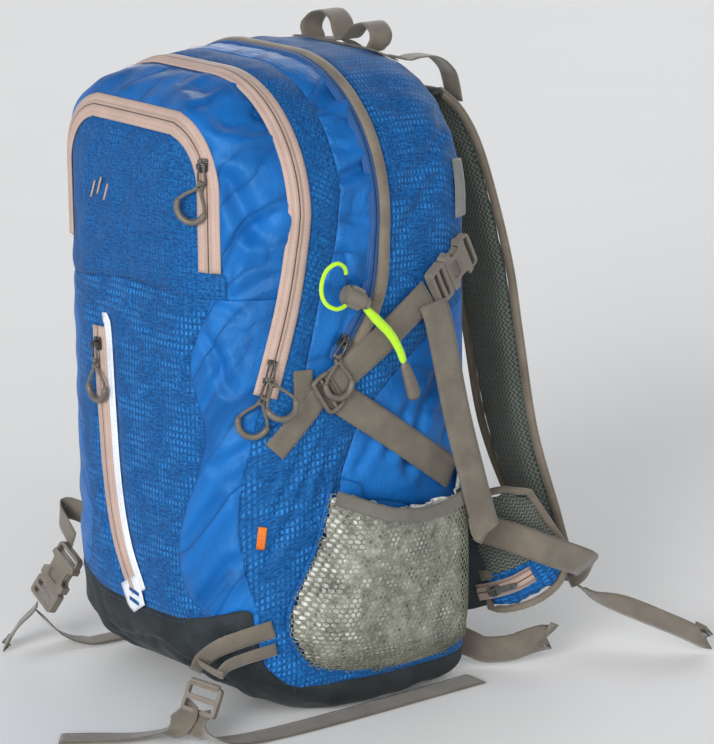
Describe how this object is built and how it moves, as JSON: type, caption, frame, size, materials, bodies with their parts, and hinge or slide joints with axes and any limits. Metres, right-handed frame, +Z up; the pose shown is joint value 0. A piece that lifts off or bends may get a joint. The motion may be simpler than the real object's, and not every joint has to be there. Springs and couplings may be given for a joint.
{
  "type": "daypack",
  "caption": "Hiking daypack with a zipped main compartment, expansion gusset, two front pockets, mesh side pockets, padded harness, hip belt and compression straps.",
  "frame": {"origin": "on the floor under the pack, halfway across its width, 103 mm in front of the back panel", "axes": "+Z up, -Y towards the front pockets, +Y towards the wearer, +X to the right-hand side seen from the front"},
  "size_m": [0.4396, 0.5428, 0.5409],
  "materials": {
    "ripstop": "two-tone blue ripstop weave",
    "satin": "bright blue satin weave",
    "boot": "coated dark grey cloth",
    "frame_plastic": "thin stiffener sheet",
    "stay_metal": "flat bar",
    "air_mesh": "grey spacer mesh",
    "net": "open knitted net",
    "liner": "thin silvery lining",
    "zip_tape": "tan coil zip tape",
    "reflective": "white reflective tape",
    "webbing": "taupe woven webbing",
    "hardware": "moulded acetal, fine texture",
    "cord_grip": "cord with moulded grip",
    "zip_metal": "dull nickel",
    "spring_steel": "bright wire",
    "lime_cord": "lime elastic cord with a moulded end"
  },
  "bodies": {
    "pack": {"main_compartment": "ripstop", "expansion_gusset": "satin", "front_compartment": "ripstop", "upper_front_pocket": "ripstop", "lower_front_pocket": "ripstop", "base_boot": "boot", "frame_sheet": "frame_plastic", "frame_stays": "stay_metal", "back_pads": "air_mesh", "mesh_pockets": "net", "pocket_liners": "liner", "main_zip": "zip_tape", "main_zip_binding": "webbing", "front_zip": "zip_tape", "upper_pocket_zip": "zip_tape", "lower_pocket_zip": "zip_tape", "reflective_trim": "reflective", "anchor_straps": "webbing", "lower_straps": "webbing", "female_buckles": "hardware", "base_webbing": "webbing", "base_ladder_lock": "hardware", "base_buckle_female": "hardware", "pole_loop": "lime_cord", "harness_webbing": "webbing", "side_tags": "webbing"},
    "upper_slider": {"upper_slider": "zip_metal"},
    "upper_pull": {"upper_pull": "cord_grip"},
    "lower_slider": {"lower_slider": "zip_metal"},
    "lower_pull": {"lower_pull": "cord_grip"},
    "front_slider_low": {"front_slider_low": "zip_metal"},
    "front_pull_low": {"front_pull_low": "cord_grip"},
    "front_slider_high": {"front_slider_high": "zip_metal"},
    "front_pull_high": {"front_pull_high": "cord_grip"},
    "main_slider": {"main_slider": "zip_metal"},
    "main_pull": {"main_pull": "cord_grip"},
    "male_buckle_right": {"male_buckle_right": "hardware", "tension_strap_right": "webbing"},
    "male_buckle_left": {"male_buckle_left": "hardware", "tension_strap_left": "webbing"},
    "base_buckle_male": {"base_buckle_male": "hardware", "base_tail_left": "webbing"},
    "cord_lock": {"cord_lock_body": "hardware", "cord_lock_spring": "spring_steel"},
    "cord_button": {"cord_lock_button": "hardware"},
    "haul_loop": {"haul_loop": "webbing"},
    "shoulder_right": {"shoulder_pad_right": "air_mesh", "shoulder_webbing_right": "webbing", "ladder_lock_right": "hardware"},
    "shoulder_left": {"shoulder_pad_left": "air_mesh", "shoulder_webbing_left": "webbing", "ladder_lock_left": "hardware"},
    "hip_right": {"hip_wing_right": "air_mesh", "hip_zip_right": "zip_tape"},
    "hip_left": {"hip_wing_left": "air_mesh", "hip_zip_left": "zip_tape"},
    "sternum_right": {"sternum_right": "hardware"},
    "sternum_left": {"sternum_left": "hardware"},
    "hip_slider_right": {"hip_slider_right": "zip_metal"},
    "hip_slider_left": {"hip_slider_left": "zip_metal"}
  },
  "joints": [
    {"name": "upper_slider_travel", "type": "slide", "parent": "pack", "child": "upper_slider", "axis": [-0.0499, -0.01, 0.9987], "range_m": [-0.078, 0]},
    {"name": "upper_pull_swing", "type": "hinge", "parent": "upper_slider", "child": "upper_pull", "pos_m": [0.0947, -0.13418, 0.45448], "axis": [-0.8648, -0.4997, -0.0482], "range_deg": [0, 120]},
    {"name": "lower_slider_travel", "type": "slide", "parent": "pack", "child": "lower_slider", "axis": [-0.0599, 0, 0.9982], "range_m": [-0.11, 0.004]},
    {"name": "lower_pull_swing", "type": "hinge", "parent": "lower_slider", "child": "lower_pull", "pos_m": [-0.039, -0.1485, 0.292], "axis": [-0.9982, 0, -0.0599], "range_deg": [0, 120]},
    {"name": "front_slider_low_travel", "type": "slide", "parent": "pack", "child": "front_slider_low", "axis": [0.1259, 0.2307, 0.9648], "range_m": [0, 0.045]},
    {"name": "front_pull_low_swing", "type": "hinge", "parent": "front_slider_low", "child": "front_pull_low", "pos_m": [0.12718, -0.09853, 0.28598], "axis": [-0.4457, -0.8557, 0.2628], "range_deg": [0, 38]},
    {"name": "front_slider_high_travel", "type": "slide", "parent": "front_slider_low", "child": "front_slider_high", "axis": [0.1259, 0.2307, 0.9648], "range_m": [0, 0.04]},
    {"name": "front_pull_high_swing", "type": "hinge", "parent": "front_slider_high", "child": "front_pull_high", "pos_m": [0.12907, -0.09507, 0.30045], "axis": [-0.4457, -0.8557, 0.2628], "range_deg": [0, 70]},
    {"name": "main_slider_travel", "type": "slide", "parent": "pack", "child": "main_slider", "axis": [0.0288, 0.6112, 0.791], "range_m": [0, 0.008]},
    {"name": "main_pull_swing", "type": "hinge", "parent": "main_slider", "child": "main_pull", "pos_m": [0.14637, -0.03698, 0.31121], "axis": [-0.1098, -0.7846, 0.6102], "range_deg": [0, 110]},
    {"name": "buckle_release_right", "type": "slide", "parent": "pack", "child": "male_buckle_right", "axis": [0.1958, -0.8335, -0.5167], "range_m": [0, 0.025]},
    {"name": "buckle_release_left", "type": "slide", "parent": "pack", "child": "male_buckle_left", "axis": [-0.1958, -0.8335, -0.5167], "range_m": [0, 0.025]},
    {"name": "base_buckle_release", "type": "slide", "parent": "pack", "child": "base_buckle_male", "axis": [-0.4197, -0.3198, -0.8494], "range_m": [0, 0.026]},
    {"name": "cord_lock_travel", "type": "slide", "parent": "pack", "child": "cord_lock", "axis": [0.0501, 0.881, -0.4705], "range_m": [0, 0.006]},
    {"name": "cord_lock_press", "type": "slide", "parent": "cord_lock", "child": "cord_button", "axis": [-0.0501, -0.881, 0.4705], "range_m": [0, 0.003]},
    {"name": "haul_loop_tip", "type": "hinge", "parent": "pack", "child": "haul_loop", "pos_m": [0, 0.078, 0.51207], "axis": [1, 0, 0], "range_deg": [-18, 18]},
    {"name": "shoulder_strap_right_swing", "type": "hinge", "parent": "pack", "child": "shoulder_right", "pos_m": [0.05, 0.116, 0.482], "axis": [1, 0, 0], "range_deg": [-4, 25]},
    {"name": "shoulder_strap_left_swing", "type": "hinge", "parent": "pack", "child": "shoulder_left", "pos_m": [-0.05, 0.116, 0.482], "axis": [1, 0, 0], "range_deg": [-4, 25]},
    {"name": "hip_wing_right_fold", "type": "hinge", "parent": "pack", "child": "hip_right", "pos_m": [0.112, 0.12, 0.1], "axis": [0, 0, 1], "range_deg": [-4, 12]},
    {"name": "hip_wing_left_fold", "type": "hinge", "parent": "pack", "child": "hip_left", "pos_m": [-0.112, 0.12, 0.1], "axis": [0, 0, 1], "range_deg": [-12, 4]},
    {"name": "sternum_slide_right", "type": "slide", "parent": "shoulder_right", "child": "sternum_right", "axis": [-0.1198, -0.0899, 0.9887], "range_m": [-0.006, 0.03]},
    {"name": "sternum_slide_left", "type": "slide", "parent": "shoulder_left", "child": "sternum_left", "axis": [0.1198, -0.0899, 0.9887], "range_m": [-0.006, 0.03]},
    {"name": "hip_slider_right_travel", "type": "slide", "parent": "hip_right", "child": "hip_slider_right", "axis": [0.6667, 0.6667, 0.3333], "range_m": [-0.006, 0.012]},
    {"name": "hip_slider_left_travel", "type": "slide", "parent": "hip_left", "child": "hip_slider_left", "axis": [-0.6667, 0.6667, 0.3333], "range_m": [-0.006, 0.012]}
  ]
}
